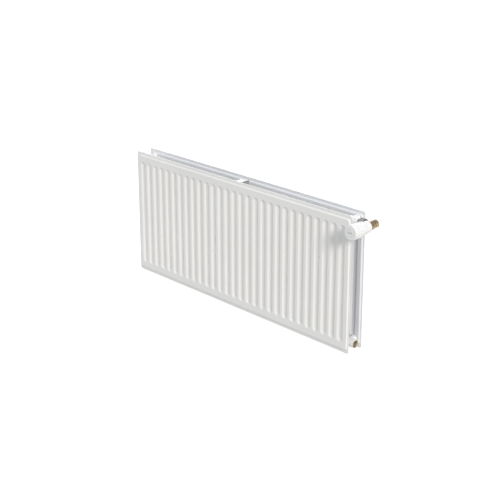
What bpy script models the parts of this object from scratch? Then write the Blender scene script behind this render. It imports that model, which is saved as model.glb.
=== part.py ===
"""Wall-hung double panel radiator with a thermostatic valve on its top right connection.

Units are metres, +Z is up, the front of the radiator faces -Y and the wall is at +Y.
The origin lies midway between the two upper wall lugs, on the face that they turn to the wall.
"""
import math

import bmesh
import bpy
from mathutils import Matrix

# ---------------------------------------------------------------- driving dimensions
PANEL_LENGTH = 1.000
PANEL_HEIGHT = 0.450
PANEL_THICKNESS = 0.011
PANEL_SPACING = 0.061  # between the middle planes of the two panels
CHANNELS = 30
SHEET = 0.0012
FIT_GAP = 0.0003  # left between pieces that touch

EDGE_FLANGE = 0.009  # flat seam along the top and bottom edges
END_FLANGE = 0.003  # flat seam along the two ends
SHOULDER = 0.0045  # run of the slope from the seam up to the header
GROOVE_MARGIN = 0.0325  # from the top or bottom edge to a groove's end
GROOVE_WIDTH = 0.026  # at the header level
GROOVE_FLANK = 0.009  # run of the slope down to the groove's floor

PORT_HEIGHT = 0.025  # port axis from the nearest long edge
TEE_RADIUS = 0.014
TEE_CROSS_RADIUS = 0.012
TEE_CROSS_INSET = 0.026  # cross tube's axis from the panel's end
TEE_PROUD = 0.002
PORT_RADIUS = 0.0105  # G 1/2 thread, major radius
PORT_RUN_OUT = 0.004  # how far the port's bore runs past the cross tube's axis
CHAMFER = 0.001
WATERWAY_RADIUS = 0.007

LUG_STANDOFF = 0.010  # wall face of a lug to the rear panel's crests
LUG_PLATE = 0.003
LUG_HEIGHT = 0.030
LUG_DROP = 0.060  # lug's middle from the nearest long edge
LUG_GROOVE = 4  # the lugs bridge this groove, counted from each end
LUG_FOOT = 0.010

STRAP_WIDTH = 0.025
STRAP_PLATE = 0.002
STRAP_DROP = 0.006
STRAP_LEG = 0.030
STRAP_BEND = 0.0006

VALVE_REACH = 0.044  # valve axis beyond the panel's end
CUT_PAST = 0.002  # how far a cutter runs past the face it opens

# ---------------------------------------------------------------- derived positions
PITCH = PANEL_LENGTH / CHANNELS
HALF_LENGTH = PANEL_LENGTH / 2
BOTTOM = LUG_DROP - PANEL_HEIGHT
TOP = LUG_DROP
REAR_PLANE = -LUG_STANDOFF - PANEL_THICKNESS / 2
FRONT_PLANE = REAR_PLANE - PANEL_SPACING
MIDDLE_Y = (REAR_PLANE + FRONT_PLANE) / 2
CREST = PANEL_THICKNESS / 2
SEAM = FIT_GAP / 2 + SHEET
INNER_GAP = PANEL_SPACING - PANEL_THICKNESS
TEE_FACE = HALF_LENGTH + TEE_PROUD
VALVE_X = HALF_LENGTH + VALVE_REACH
VALVE_Z = TOP - PORT_HEIGHT

FORWARD = (math.pi / 2, 0, 0)  # turns a piece's local +Z to the front, -Y
TO_RIGHT = (0, math.pi / 2, 0)  # local +Z to +X
TO_LEFT = (0, -math.pi / 2, 0)  # local +Z to -X

SMOOTH_ANGLE = math.radians(32)
MERGE = 0.000001


# ---------------------------------------------------------------- materials
def material(name, colour, roughness, metallic):
    made = bpy.data.materials.new(name)
    made.use_nodes = True
    shader = made.node_tree.nodes["Principled BSDF"]
    shader.inputs["Base Color"].default_value = (*colour, 1)
    shader.inputs["Roughness"].default_value = roughness
    shader.inputs["Metallic"].default_value = metallic
    return made


def material_set():
    return {
        "panel": material("white_enamel", (0.86, 0.86, 0.85), 0.35, 0.0),
        "tee": material("white_enamel_tee", (0.84, 0.84, 0.83), 0.4, 0.0),
        "lug": material("white_enamel_lug", (0.83, 0.83, 0.82), 0.45, 0.0),
        "nickel": material("nickel_plate", (0.62, 0.61, 0.60), 0.25, 1.0),
        "brass": material("raw_brass", (0.62, 0.47, 0.26), 0.35, 1.0),
        "steel": material("stainless_steel", (0.60, 0.60, 0.61), 0.3, 1.0),
        "rubber": material("black_rubber", (0.03, 0.03, 0.03), 0.8, 0.0),
        "plastic": material("white_plastic", (0.88, 0.88, 0.87), 0.4, 0.0),
        "grey": material("grey_plastic", (0.55, 0.56, 0.57), 0.5, 0.0),
    }


# ---------------------------------------------------------------- helpers
def clear_scene():
    for old in list(bpy.data.objects):
        bpy.data.objects.remove(old, do_unlink=True)


def add_object(name, data, surface, location=(0, 0, 0), rotation=(0, 0, 0), parent=None):
    """Links one named object with one material at its place."""
    made = bpy.data.objects.new(name, data)
    made.location = location
    made.rotation_euler = rotation
    made.parent = parent
    data.materials.append(surface)
    bpy.context.scene.collection.objects.link(made)
    return made


def add_mesh(name, bm, surface, location=(0, 0, 0), rotation=(0, 0, 0), parent=None):
    """Links a mesh with its faces in a fixed order, so that every run gives the same triangles."""
    bmesh.ops.recalc_face_normals(bm, faces=bm.faces[:])
    bm.verts.index_update()
    points = [vert.co[:] for vert in bm.verts]
    faces = []
    for face in bm.faces:
        corners = [vert.index for vert in face.verts]
        first = corners.index(min(corners))
        faces.append(corners[first:] + corners[:first])
    faces.sort()
    bm.free()
    mesh = bpy.data.meshes.new(name)
    mesh.from_pydata(points, [], faces)
    mesh.shade_smooth()
    mesh.set_sharp_from_angle(angle=SMOOTH_ANGLE)
    return add_object(name, mesh, surface, location, rotation, parent)


def add_empty(name, location, rotation):
    made = bpy.data.objects.new(name, None)
    made.location = location
    made.rotation_euler = rotation
    bpy.context.scene.collection.objects.link(made)
    return made


def turned_mesh(profile, segments, ring):
    """Spins (height, radius) points round local Z. A ring's profile closes away from the axis."""
    bm = bmesh.new()
    points = [bm.verts.new((radius, 0, height)) for height, radius in profile]
    edges = [bm.edges.new(pair) for pair in zip(points, points[1:])]
    if ring:
        edges.append(bm.edges.new((points[-1], points[0])))
    bmesh.ops.spin(
        bm,
        geom=points + edges,
        cent=(0, 0, 0),
        axis=(0, 0, 1),
        angle=math.tau,
        steps=segments,
        use_merge=True,
    )
    bmesh.ops.remove_doubles(bm, verts=bm.verts[:], dist=MERGE)
    return bm


def turned(name, profile, surface, segments=24, ring=True, **place):
    return add_mesh(name, turned_mesh(profile, segments, ring), surface, **place)


def prism_mesh(outline, low, high):
    """A prism of an outline in local XY, from low to high along local Z."""
    bm = bmesh.new()
    base = bm.faces.new([bm.verts.new((x, y, low)) for x, y in outline])
    grown = bmesh.ops.extrude_face_region(bm, geom=[base])
    lifted = [item for item in grown["geom"] if isinstance(item, bmesh.types.BMVert)]
    bmesh.ops.translate(bm, verts=lifted, vec=(0, 0, high - low))
    return bm


def hexagon(across_flats):
    radius = across_flats / math.sqrt(3)
    turns = [math.tau * (side + 0.5) / 6 for side in range(6)]
    return [(radius * math.cos(turn), radius * math.sin(turn)) for turn in turns]


def boolean(target, tool, operation="DIFFERENCE"):
    """Cuts a tool from the target, or joins it on; the tool itself is only a guide."""
    tool.hide_render = True
    tool.display_type = "WIRE"
    step = target.modifiers.new(operation.lower(), "BOOLEAN")
    step.operation = operation
    step.object = tool
    step.solver = "EXACT"


def coil(name, radius, wire, low, high, turns, surface, **place):
    """A spring as a helix along local Z, its wire a bevelled curve with filled caps."""
    steps_a_turn = 8
    steps = round(turns * steps_a_turn)
    curve = bpy.data.curves.new(name, "CURVE")
    curve.dimensions = "3D"
    curve.bevel_depth = wire
    curve.bevel_resolution = 1
    curve.use_fill_caps = True
    spline = curve.splines.new("POLY")
    spline.points.add(steps)
    for index, point in enumerate(spline.points):
        turn = math.tau * index / steps_a_turn
        height = low + (high - low) * index / steps
        point.co = (radius * math.cos(turn), radius * math.sin(turn), height, 1)
    return add_object(name, curve, surface, **place)


# ---------------------------------------------------------------- panels
def press_side(bm, depth):
    """One side of a sheet in local XY, raised towards local +Z; depth is 0 or the sheet's own.

    A flat seam runs round the edge, a shoulder rises to the header level, and the grooves
    between the channels are pressed back down to the seam level. The side underneath turns
    its corners a little later, so that the slopes keep the sheet's thickness.
    """
    slope = math.atan2(CREST - SEAM, GROOVE_FLANK)
    late = depth * math.tan(slope / 2)
    seam, crest = SEAM - depth, CREST - depth

    def rectangle(x_margin, y_margin, height):
        x, y = HALF_LENGTH - x_margin, PANEL_HEIGHT / 2 - y_margin
        corners = ((-x, -y), (x, -y), (x, y), (-x, y))
        return [bm.verts.new((px, py, height)) for px, py in corners]

    edge = rectangle(0, 0, seam)
    foot = rectangle(END_FLANGE + late, EDGE_FLANGE + late, seam)
    rim_x, rim_y = END_FLANGE + SHOULDER + late, EDGE_FLANGE + SHOULDER + late
    rim = rectangle(rim_x, rim_y, crest)

    groove_end = PANEL_HEIGHT / 2 - GROOVE_MARGIN + late
    half_groove = GROOVE_WIDTH / 2 + late
    middles = [groove * PITCH - HALF_LENGTH for groove in range(1, CHANNELS)]
    sides = [x + offset for x in middles for offset in (-half_groove, half_groove)]
    across = [rim_x - HALF_LENGTH] + sides + [HALF_LENGTH - rim_x]
    lows = [bm.verts.new((x, -groove_end, crest)) for x in across]
    highs = [bm.verts.new((x, groove_end, crest)) for x in across]

    for side in range(4):
        after = (side + 1) % 4
        bm.faces.new((edge[side], edge[after], foot[after], foot[side]))
    bm.faces.new((foot[0], foot[1], rim[1], rim[0]))
    bm.faces.new((foot[1], foot[2], rim[2], highs[-1], lows[-1], rim[1]))
    bm.faces.new((foot[2], foot[3], rim[3], rim[2]))
    bm.faces.new((foot[3], foot[0], rim[0], lows[0], highs[0], rim[3]))
    bm.faces.new([rim[0], rim[1]] + lows[::-1])
    bm.faces.new(highs + [rim[2], rim[3]])

    strips = []
    for left in range(len(across) - 1):
        right = left + 1
        strips.append(bm.faces.new((lows[left], lows[right], highs[right], highs[left])))
    bmesh.ops.recalc_face_normals(bm, faces=strips)
    grooves = strips[1::2]
    for groove in grooves:
        if groove.normal.z < 0:
            groove.normal_flip()
    bmesh.ops.inset_individual(bm, faces=grooves, thickness=GROOVE_FLANK, depth=seam - crest)
    return edge


def add_sheet(name, middle, outward, surface):
    """One pressed sheet; outward is -1 for a sheet whose outer face turns to the front."""
    bm = bmesh.new()
    outer = press_side(bm, 0)
    inner = press_side(bm, SHEET)
    for side in range(4):
        after = (side + 1) % 4
        bm.faces.new((outer[side], outer[after], inner[after], inner[side]))
    turn = (-outward * math.pi / 2, 0, 0)
    return add_mesh(name, bm, surface, location=(0, middle, (TOP + BOTTOM) / 2), rotation=turn)


def cut_waterways(sheet, y):
    """Opens an inner sheet where the four tees' cross tubes are welded on."""
    for side in (-1, 1):
        for height in (TOP - PORT_HEIGHT, BOTTOM + PORT_HEIGHT):
            past = SHEET + CUT_PAST
            profile = [(-past, 0), (-past, WATERWAY_RADIUS), (past, WATERWAY_RADIUS), (past, 0)]
            hole = turned(
                "waterway_cutter",
                profile[::-1],
                sheet.data.materials[0],
                segments=12,
                ring=False,
                location=(side * (HALF_LENGTH - TEE_CROSS_INSET), y, height),
                rotation=FORWARD,
            )
            boolean(sheet, hole)


def add_panels(surface):
    add_sheet("front_panel_front_sheet", FRONT_PLANE, -1, surface)
    front_back = add_sheet("front_panel_back_sheet", FRONT_PLANE, 1, surface)
    rear_front = add_sheet("rear_panel_front_sheet", REAR_PLANE, -1, surface)
    add_sheet("rear_panel_back_sheet", REAR_PLANE, 1, surface)
    cut_waterways(front_back, FRONT_PLANE + CREST)
    cut_waterways(rear_front, REAR_PLANE - CREST)


def add_tee(name, side, height, surface):
    """A threaded port to the side, on a cross tube that joins both panels."""
    cross_half = INNER_GAP / 2 - FIT_GAP
    cross_x = side * (HALF_LENGTH - TEE_CROSS_INSET)
    reach = TEE_FACE - (HALF_LENGTH - TEE_CROSS_INSET)
    turn = TO_RIGHT if side > 0 else TO_LEFT
    place = {"location": (cross_x, MIDDLE_Y, height), "rotation": turn}
    across = {"location": (cross_x, MIDDLE_Y, height), "rotation": FORWARD}
    port = [
        (reach, 0),
        (reach, TEE_RADIUS - CHAMFER),
        (reach - CHAMFER, TEE_RADIUS),
        (-TEE_CROSS_RADIUS / 2, TEE_RADIUS),
        (-TEE_CROSS_RADIUS, TEE_RADIUS * 0.6),
        (-TEE_CROSS_RADIUS, 0),
    ]
    made = turned(name, port, surface, ring=False, **place)

    def rod(label, low, high, radius, where, segments):
        profile = [(high, 0), (high, radius), (low, radius), (low, 0)]
        return turned(label, profile, surface, segments=segments, ring=False, **where)

    cross = rod("cross_guide", -cross_half, cross_half, TEE_CROSS_RADIUS, across, 20)
    boolean(made, cross, "UNION")
    bore = rod("port_cutter", -PORT_RUN_OUT, reach + CUT_PAST, PORT_RADIUS, place, 24)
    boolean(made, bore)
    through = cross_half + CUT_PAST
    waterway = rod("waterway_cutter", -through, through, WATERWAY_RADIUS, across, 12)
    boolean(made, waterway)
    return made


def add_strap(name, level, legs_down, surface):
    """A bent strip across the air gap, its two legs welded to the header faces."""
    half = INNER_GAP / 2 - FIT_GAP
    leg = -STRAP_LEG if legs_down else STRAP_LEG
    plate = -STRAP_PLATE if legs_down else STRAP_PLATE
    inner = half - STRAP_PLATE
    outline = [
        (-half, 0),
        (half, 0),
        (half, leg),
        (inner, leg),
        (inner, plate),
        (-inner, plate),
        (-inner, leg),
        (-half, leg),
    ]
    bm = prism_mesh(outline, -STRAP_WIDTH / 2, STRAP_WIDTH / 2)
    # local X runs along -Y, local Y up and local Z along X
    turn = Matrix(((0, 0, 1), (-1, 0, 0), (0, 1, 0)))
    bmesh.ops.transform(bm, matrix=turn.to_4x4(), verts=bm.verts[:])
    made = add_mesh(name, bm, surface, location=(0, MIDDLE_Y, level))
    round_edges(made, STRAP_BEND)


def round_edges(made, width):
    bevel = made.modifiers.new("edges", "BEVEL")
    bevel.width = width
    bevel.segments = 1
    bevel.limit_method = "ANGLE"
    bevel.angle_limit = math.radians(40)


def add_lug(name, x, z, surface):
    """A bridge-shaped strip over one groove, its feet welded on the two crests beside it."""
    half = PITCH / 2 + LUG_FOOT / 2
    foot_back = FIT_GAP - LUG_STANDOFF
    foot_front = foot_back + LUG_PLATE
    step = half - LUG_FOOT
    inner = step - LUG_PLATE
    outline = [
        (-half, foot_back),
        (-step + LUG_PLATE, foot_back),
        (-inner + LUG_PLATE, -LUG_PLATE),
        (inner - LUG_PLATE, -LUG_PLATE),
        (step - LUG_PLATE, foot_back),
        (half, foot_back),
        (half, foot_front),
        (step, foot_front),
        (inner, 0),
        (-inner, 0),
        (-step, foot_front),
        (-half, foot_front),
    ]
    bm = prism_mesh(outline, -LUG_HEIGHT / 2, LUG_HEIGHT / 2)
    add_mesh(name, bm, surface, location=(x, 0, z))


def add_frame(surfaces):
    upper, lower = TOP - PORT_HEIGHT, BOTTOM + PORT_HEIGHT
    for name, side, height in (
        ("top_left_tee", -1, upper),
        ("bottom_left_tee", -1, lower),
        ("top_right_tee", 1, upper),
        ("bottom_right_tee", 1, lower),
    ):
        add_tee(name, side, height, surfaces["tee"])
    add_strap("top_spacer_strap", TOP - STRAP_DROP, True, surfaces["tee"])
    add_strap("bottom_spacer_strap", BOTTOM + STRAP_DROP, False, surfaces["tee"])
    lug_x = HALF_LENGTH - LUG_GROOVE * PITCH
    for name, x, z in (
        ("upper_left_wall_lug", -lug_x, TOP - LUG_DROP),
        ("upper_right_wall_lug", lug_x, TOP - LUG_DROP),
        ("lower_left_wall_lug", -lug_x, BOTTOM + LUG_DROP),
        ("lower_right_wall_lug", lug_x, BOTTOM + LUG_DROP),
    ):
        add_lug(name, x, z, surfaces["lug"])


# ---------------------------------------------------------------- plugs at the left end
SEAL_PLATE = 0.0015
PLUG_FLANGE = 0.0030
PLUG_HEX = 0.022
PLUG_HEAD = 0.0045
PLUG_SHANK = 0.0100
PLUG_FLANGE_BEVEL = 0.0008
PLUG_FLANGE_OVERLAP = 0.001  # how far the hexagon starts inside the flange
THREAD_CLEARANCE = 1.2 * FIT_GAP
SEAL_INSET = 0.0006
VENT_BORE = 0.0033
BLEED_RADIUS = 0.0030
BLEED_RECESS = 0.001
BLEED_SHANK = 0.0085
BLEED_POINT = 0.0105
BLEED_TIP_RADIUS = 0.0006
BLEED_SQUARE = 0.0040
BLEED_SQUARE_PROUD = 0.0025


def add_plug(name, seal_name, height, bored, surfaces):
    """A threaded plug with a flange and a hexagon, on a flat ring seal."""
    place = {"location": (-TEE_FACE, MIDDLE_Y, height), "rotation": TO_LEFT}
    low = FIT_GAP
    high = low + SEAL_PLATE
    seal = [
        (low, PORT_RADIUS),
        (high, PORT_RADIUS),
        (high, TEE_RADIUS - SEAL_INSET),
        (low, TEE_RADIUS - SEAL_INSET),
    ]
    turned(seal_name, seal[::-1], surfaces["rubber"], **place)

    flange = high + FIT_GAP
    shank = PORT_RADIUS - THREAD_CLEARANCE
    rim = flange + PLUG_FLANGE
    body = [
        (rim, 0),
        (rim, TEE_RADIUS - PLUG_FLANGE_BEVEL),
        (rim - PLUG_FLANGE_BEVEL, TEE_RADIUS),
        (flange, TEE_RADIUS),
        (flange, shank),
        (CHAMFER - PLUG_SHANK, shank),
        (-PLUG_SHANK, shank - CHAMFER),
        (-PLUG_SHANK, 0),
    ]
    made = turned(name, body, surfaces["nickel"], ring=False, **place)
    head_top = rim + PLUG_HEAD
    head = prism_mesh(hexagon(PLUG_HEX), flange + PLUG_FLANGE_OVERLAP, head_top)
    hex_guide = add_mesh("hexagon_guide", head, surfaces["nickel"], **place)
    boolean(made, hex_guide, "UNION")
    if bored:
        high, low = head_top + CUT_PAST, -PLUG_SHANK - CUT_PAST
        bore = [(high, 0), (high, VENT_BORE), (low, VENT_BORE), (low, 0)]
        cutter = turned("vent_cutter", bore, surfaces["nickel"], segments=16, ring=False, **place)
        boolean(made, cutter)
    return head_top


def add_bleed_screw(head_top, height, surface):
    """A round screw with a point inside and a square driving end outside."""
    place = {"location": (-TEE_FACE, MIDDLE_Y, height), "rotation": TO_LEFT}
    shank = [
        (head_top - BLEED_RECESS, 0),
        (head_top - BLEED_RECESS, BLEED_RADIUS),
        (-BLEED_SHANK, BLEED_RADIUS),
        (-BLEED_POINT, BLEED_TIP_RADIUS),
        (-BLEED_POINT, 0),
    ]
    made = turned("bleed_screw", shank, surface, segments=16, ring=False, **place)
    half = BLEED_SQUARE / 2
    outline = [(-half, -half), (half, -half), (half, half), (-half, half)]
    square = prism_mesh(outline, head_top - 2 * BLEED_RECESS, head_top + BLEED_SQUARE_PROUD)
    guide = add_mesh("square_guide", square, surface, **place)
    boolean(made, guide, "UNION")


def add_left_fittings(surfaces):
    upper, lower = TOP - PORT_HEIGHT, BOTTOM + PORT_HEIGHT
    head_top = add_plug("air_vent_plug", "air_vent_seal", upper, True, surfaces)
    add_bleed_screw(head_top, upper, surfaces["brass"])
    add_plug("blanking_plug", "blanking_plug_seal", lower, False, surfaces)


# ---------------------------------------------------------------- valve
# Heights below run along the valve's axis from its centre, positive to the front.
BODY_RADIUS = 0.0135
BODY_BELLY = 0.0060
SPIGOT_RADIUS = 0.0103
SPIGOT_START = -0.0136
SPIGOT_END = -0.0250
CHAMBER_RADIUS = 0.0095
SEAT_LEVEL = -0.0040
SEAT_HOLE = 0.0065
PIPE_RADIUS = 0.0076  # takes a 15 mm pipe
PIPE_STOP = -0.0100
OLIVE_ROOM = 0.0089
OLIVE = (-0.0240, -0.0155)
HEAD_THREAD_RADIUS = 0.0148
HEAD_THREAD_START = 0.0125
HEAD_THREAD_END = 0.0205
THREAD_BEVEL = 0.0006

UNION_RADIUS = 0.0132
UNION_NUT_FLATS = 0.0320
UNION_NUT_LOW = 0.0075  # the nut's outer end from the tee's face
UNION_NUT_LENGTH = 0.0155
UNION_LIP = 0.0030
UNION_THREAD = 0.0090
NECK_RADIUS = 0.0120
FLOW_RADIUS = 0.0075
COLLAR_LENGTH = 0.0030
TAIL_ENGAGEMENT = 0.0120
TAIL_RADIUS = 0.0098
TAIL_SHOULDER = 0.0035
TAIL_SHOULDER_RADIUS = 0.0125

NUT_OVER = 0.001  # a nut's blank is this much longer at each end than the nut
NUT_FACE = 0.96  # a nut's end face across, as a share of its flats
NUT_RISE = 0.6  # slope of the cone that turns a nut's corners off

INLET_NUT_FLATS = 0.0240
INLET_NUT_FRONT = -0.0142
INLET_NUT_END = -0.0275

SPINDLE_RADIUS = 0.0020
SPINDLE_TIP = 0.0290
DISC_CARRIER = (0.0006, 0.0020)
DISC = (-0.0019, 0.0003)
RETURN_SPRING = (0.0042, 0.0004, 5)  # coil radius, wire radius, turns
OVERTRAVEL_SPRING = (0.0080, 0.0006, 3)

RING_NUT_RADIUS = 0.0183
BASE_RADIUS = 0.0202
BASE_START = 0.0278
BASE_END = 0.0345
GUIDE_RADIUS = 0.0140
GUIDE_BORE = 0.0128
GUIDE_END = 0.0600
GRIP_START = 0.0348
GRIP_END = 0.0915
CAP_RADIUS = 0.0120
CAPSULE = (0.0480, 0.0780)
CAPSULE_WALL = 0.0008
CAPSULE_CLEARANCE = 0.0004
CAPSULE_FILL_HOLE = 0.0015


def add_tailpiece(surfaces):
    """The threaded tail, its collar and the union nut that pulls it onto the valve body."""
    place = {"location": (TEE_FACE, MIDDLE_Y, VALVE_Z), "rotation": TO_RIGHT}
    thread = PORT_RADIUS - THREAD_CLEARANCE
    collar = UNION_NUT_LOW + UNION_LIP + FIT_GAP
    tail = [
        (-TAIL_ENGAGEMENT, FLOW_RADIUS),
        (-TAIL_ENGAGEMENT, thread - CHAMFER),
        (-TAIL_ENGAGEMENT + CHAMFER, thread),
        (FIT_GAP, thread),
        (FIT_GAP, TAIL_SHOULDER_RADIUS),
        (TAIL_SHOULDER, TAIL_SHOULDER_RADIUS),
        (TAIL_SHOULDER + CHAMFER, TAIL_RADIUS),
        (collar, TAIL_RADIUS),
        (collar, UNION_RADIUS),
        (collar + COLLAR_LENGTH, UNION_RADIUS),
        (collar + COLLAR_LENGTH, FLOW_RADIUS),
    ]
    turned("valve_tailpiece", tail, surfaces["nickel"], **place)

    high = UNION_NUT_LOW + UNION_NUT_LENGTH
    nut = add_nut("union_nut", UNION_NUT_FLATS, UNION_NUT_LOW, high, surfaces["nickel"], place)
    hollow = [
        (high + CUT_PAST, 0),
        (high + CUT_PAST, UNION_RADIUS + FIT_GAP),
        (UNION_NUT_LOW + UNION_LIP, UNION_RADIUS + FIT_GAP),
        (UNION_NUT_LOW + UNION_LIP, TAIL_RADIUS + FIT_GAP),
        (UNION_NUT_LOW - CUT_PAST, TAIL_RADIUS + FIT_GAP),
        (UNION_NUT_LOW - CUT_PAST, 0),
    ]
    cutter = turned("nut_cutter", hollow, surfaces["nickel"], ring=False, **place)
    boolean(nut, cutter)


def add_nut(name, flats, low, high, surface, place):
    """A hexagon nut's blank, its corners turned off by a cone at both ends."""
    blank = prism_mesh(hexagon(flats), low - NUT_OVER, high + NUT_OVER)
    nut = add_mesh(name, blank, surface, **place)
    corner = flats / math.sqrt(3)
    face = NUT_FACE * flats / 2
    rise = NUT_RISE * (corner - face)
    profile = [
        (high, 0),
        (high, face),
        (high - rise, corner + FIT_GAP),
        (low + rise, corner + FIT_GAP),
        (low, face),
        (low, 0),
    ]
    guide = turned("chamfer_guide", profile, surface, ring=False, **place)
    boolean(nut, guide, "INTERSECT")
    return nut


def add_body(axis, surfaces):
    """The valve body: straight through to the front for the insert, out to the left to the tail."""
    outer = [
        (HEAD_THREAD_END, 0),
        (HEAD_THREAD_END, HEAD_THREAD_RADIUS - THREAD_BEVEL),
        (HEAD_THREAD_END - THREAD_BEVEL, HEAD_THREAD_RADIUS),
        (HEAD_THREAD_START, HEAD_THREAD_RADIUS),
        (HEAD_THREAD_START - CHAMFER, BODY_RADIUS),
        (BODY_BELLY, BODY_RADIUS + 0.0010),
        (-BODY_BELLY, BODY_RADIUS + 0.0010),
        (SPIGOT_START + 0.0021, BODY_RADIUS - 0.0005),
        (SPIGOT_START, SPIGOT_RADIUS),
        (SPIGOT_END, SPIGOT_RADIUS),
        (SPIGOT_END, 0),
    ]
    body = turned("valve_body", outer, surfaces["brass"], ring=False, parent=axis)

    collar = UNION_NUT_LOW + UNION_LIP + FIT_GAP
    mouth = TEE_FACE + collar + COLLAR_LENGTH + FIT_GAP
    length = VALVE_X - mouth
    side = {"location": (VALVE_X, MIDDLE_Y, VALVE_Z), "rotation": TO_LEFT}
    thread_end = length - UNION_THREAD
    neck = [
        (length, 0),
        (length, UNION_RADIUS),
        (thread_end, UNION_RADIUS),
        (thread_end, NECK_RADIUS),
        (0, NECK_RADIUS),
        (0, 0),
    ]
    neck_guide = turned("neck_guide", neck, surfaces["brass"], ring=False, **side)
    boolean(body, neck_guide, "UNION")

    outlet = [(length + CUT_PAST, 0), (length + CUT_PAST, FLOW_RADIUS), (0, FLOW_RADIUS), (0, 0)]
    boolean(body, turned("outlet_cutter", outlet, surfaces["brass"], segments=20, ring=False, **side))

    bore = [
        (HEAD_THREAD_END + CUT_PAST, 0),
        (HEAD_THREAD_END + CUT_PAST, CHAMBER_RADIUS),
        (SEAT_LEVEL, CHAMBER_RADIUS),
        (SEAT_LEVEL, SEAT_HOLE),
        (PIPE_STOP, SEAT_HOLE),
        (PIPE_STOP, PIPE_RADIUS),
        (OLIVE[1] + 0.0015, PIPE_RADIUS),
        (OLIVE[1] + FIT_GAP, OLIVE_ROOM),
        (SPIGOT_END - CUT_PAST, OLIVE_ROOM),
        (SPIGOT_END - CUT_PAST, 0),
    ]
    boolean(body, turned("body_cutter", bore, surfaces["brass"], ring=False, parent=axis))


def add_inlet(axis, surfaces):
    """The compression nut and olive that a supply pipe from the wall goes into."""
    back, front = INLET_NUT_END, INLET_NUT_FRONT
    nut = add_nut("inlet_nut", INLET_NUT_FLATS, back, front, surfaces["brass"], {"parent": axis})
    step = SPIGOT_END - FIT_GAP
    hollow = [
        (front + CUT_PAST, 0),
        (front + CUT_PAST, SPIGOT_RADIUS + FIT_GAP),
        (step, SPIGOT_RADIUS + FIT_GAP),
        (step, PIPE_RADIUS + FIT_GAP),
        (back - CUT_PAST, PIPE_RADIUS + FIT_GAP),
        (back - CUT_PAST, 0),
    ]
    boolean(nut, turned("inlet_cutter", hollow, surfaces["brass"], ring=False, parent=axis))

    low, high = OLIVE
    outer, tip, slope = OLIVE_ROOM - FIT_GAP, PIPE_RADIUS + 0.0003, 0.0030
    olive = [
        (low, PIPE_RADIUS),
        (high, PIPE_RADIUS),
        (high, tip),
        (high - slope, outer),
        (low + slope, outer),
        (low, tip),
    ]
    turned("inlet_olive", olive[::-1], surfaces["brass"], segments=20, parent=axis)


def add_insert(axis, surfaces):
    """The bonnet insert with its gland, spindle, disc and return spring."""
    guide = SPINDLE_RADIUS + 0.0004
    recess = 0.0040
    spring_room = 0.0055
    start, spring_end, seal_seat, end = 0.0045, 0.0140, 0.0185, 0.0225
    flange_back, flange_radius = HEAD_THREAD_END + FIT_GAP, 0.0105
    insert = [
        (start, spring_room),
        (spring_end, spring_room),
        (spring_end, guide),
        (seal_seat, guide),
        (seal_seat, recess),
        (end, recess),
        (end, flange_radius),
        (flange_back, flange_radius),
        (flange_back, CHAMBER_RADIUS - FIT_GAP),
        (start, CHAMBER_RADIUS - FIT_GAP),
    ]
    turned("bonnet_insert", insert, surfaces["brass"], segments=24, parent=axis)

    seal_round = 0.0006
    seal_middle = seal_seat + seal_round + FIT_GAP
    seal_radius = (guide + recess) / 2
    seal = []
    for step in range(6):
        turn = math.tau * step / 6
        seal.append((seal_middle + seal_round * math.sin(turn), seal_radius + seal_round * math.cos(turn)))
    turned("spindle_seal", seal, surfaces["rubber"], segments=16, parent=axis)

    gland_start, gland_end, gland_head = 0.0204, 0.0246, 0.0052
    gland = [
        (gland_start, guide),
        (gland_end, guide),
        (gland_end, gland_head),
        (end + FIT_GAP, gland_head),
        (end + FIT_GAP, recess - FIT_GAP),
        (gland_start, recess - FIT_GAP),
    ]
    turned("gland_screw", gland, surfaces["brass"], segments=20, parent=axis)

    tip_bevel, carrier_radius = 0.0004, 0.0060
    spindle = [
        (SPINDLE_TIP, 0),
        (SPINDLE_TIP, SPINDLE_RADIUS - tip_bevel),
        (SPINDLE_TIP - tip_bevel, SPINDLE_RADIUS),
        (DISC_CARRIER[1], SPINDLE_RADIUS),
        (DISC_CARRIER[1], carrier_radius),
        (DISC_CARRIER[0], carrier_radius),
        (DISC_CARRIER[0], 0),
    ]
    turned("valve_spindle", spindle, surfaces["steel"], segments=20, ring=False, parent=axis)

    disc_radius, disc_bevel = 0.0076, 0.0005
    disc = [
        (DISC[1], 0),
        (DISC[1], disc_radius),
        (DISC[0] + disc_bevel, disc_radius),
        (DISC[0], disc_radius - disc_bevel),
        (DISC[0], 0),
    ]
    turned("valve_disc", disc, surfaces["rubber"], segments=20, ring=False, parent=axis)
    radius, wire, turns = RETURN_SPRING
    low, high = DISC_CARRIER[1] + 2 * wire, spring_end - 2 * wire
    coil("return_spring", radius, wire, low, high, turns, surfaces["steel"], parent=axis)


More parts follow.
